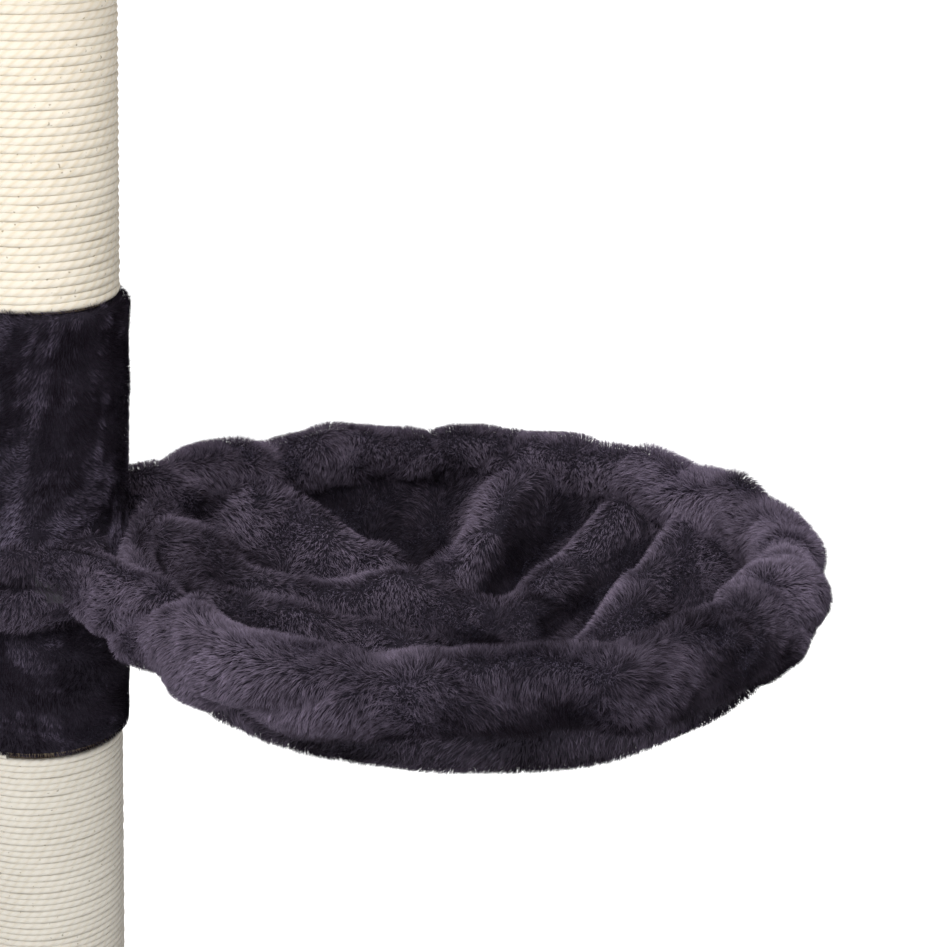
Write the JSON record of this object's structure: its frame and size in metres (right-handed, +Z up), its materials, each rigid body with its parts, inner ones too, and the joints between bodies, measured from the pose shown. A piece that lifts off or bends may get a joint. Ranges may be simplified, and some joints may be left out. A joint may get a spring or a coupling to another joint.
{
  "type": "cat tree",
  "caption": "Floor-standing cat tree: sisal scratching post on a plush-covered base, with a round plush hammock on a steel ring and a plush top perch.",
  "frame": {"origin": "on the floor under the middle of the base board", "axes": "+Z up along the post, +X from the post towards the hammock, +Y towards the back"},
  "size_m": [0.7086, 0.5086, 1.0541],
  "materials": {
    "plush": "dark violet-grey long-pile faux fur",
    "sisal": "natural twisted sisal rope, wound tight",
    "cardboard": "spiral-wound brown board",
    "chipboard": "raw pressed wood",
    "pine": "raw pine",
    "zinc_steel": "zinc-plated",
    "black_steel": "black powder coat",
    "rubber": "matte black pad",
    "nylon": "black hook-and-loop tape"
  },
  "bodies": {
    "stand": {"base_board": "chipboard", "base_cover": "plush", "base_bolt": "zinc_steel", "base_washer": "zinc_steel", "foot_front_left": "rubber", "foot_front_right": "rubber", "foot_back_left": "rubber", "foot_back_right": "rubber", "lower_tube": "cardboard", "lower_plug_bottom": "pine", "lower_plug_top": "pine", "lower_insert_bottom": "zinc_steel", "lower_insert_top": "zinc_steel", "lower_sisal": "sisal", "lower_sleeve": "plush", "joint_stud": "zinc_steel", "upper_tube": "cardboard", "upper_plug_bottom": "pine", "upper_plug_top": "pine", "upper_insert_bottom": "zinc_steel", "upper_insert_top": "zinc_steel", "upper_sisal": "sisal", "upper_sleeve": "plush", "side_screw_1": "zinc_steel", "side_screw_2": "zinc_steel", "side_screw_3": "zinc_steel", "side_screw_4": "zinc_steel", "side_screw_5": "zinc_steel", "side_screw_6": "zinc_steel", "side_screw_7": "zinc_steel", "side_screw_8": "zinc_steel", "top_board": "chipboard", "top_cover": "plush", "top_bolt": "zinc_steel", "top_washer": "zinc_steel"},
    "hammock": {"hammock_plate": "black_steel", "hammock_ring": "black_steel", "hammock_rim": "plush", "hammock_bag": "plush", "collar_strap": "plush", "collar_flap": "plush", "fastener_loop": "nylon", "fastener_hook": "nylon"}
  },
  "joints": [
    {"name": "hammock_swivel", "type": "hinge", "parent": "stand", "child": "hammock", "pos_m": [-0.15, 0, 0.5355], "axis": [0, 0, 1], "continuous": true}
  ]
}
